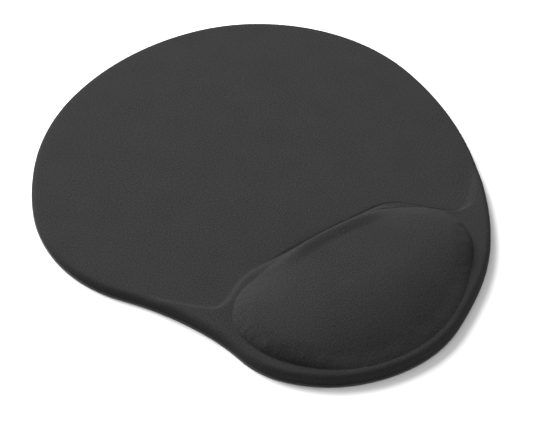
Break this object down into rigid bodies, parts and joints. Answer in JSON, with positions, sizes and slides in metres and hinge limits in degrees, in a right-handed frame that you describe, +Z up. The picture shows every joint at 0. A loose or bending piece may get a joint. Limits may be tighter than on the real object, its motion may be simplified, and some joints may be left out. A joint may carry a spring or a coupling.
{
  "type": "mouse pad with gel wrist rest",
  "caption": "One-piece soft mouse pad with a raised gel wrist rest under a knitted cover, on an anti-slip base; supports the wrist while a mouse is used.",
  "frame": {"origin": "middle of the footprint's box, on the underside that lies on the desk", "axes": "+Y from the user's edge to the far edge, +X to the user's right, +Z up"},
  "size_m": [0.205, 0.236, 0.016],
  "materials": {
    "cover_fabric": "fine knitted polyester-elastane jersey, charcoal black, slightly fuzzy",
    "bonding_film": "translucent hot-melt film",
    "foam": "fine open-cell polyurethane foam, dark grey",
    "pouch_film": "clear thermoplastic polyurethane film, satin",
    "gel": "clear soft polyurethane gel",
    "adhesive": "tacky pressure-sensitive film",
    "grip_sheet": "matt black soft polyurethane with a fine moulded grip pattern"
  },
  "bodies": {
    "root": {"grip_base": "grip_sheet", "base_adhesive": "adhesive", "foam_body": "foam", "gel_pouch_lower_film": "pouch_film", "gel_core": "gel", "gel_pouch_upper_film": "pouch_film", "cover_bonding_film": "bonding_film", "cover": "cover_fabric"}
  },
  "joints": []
}
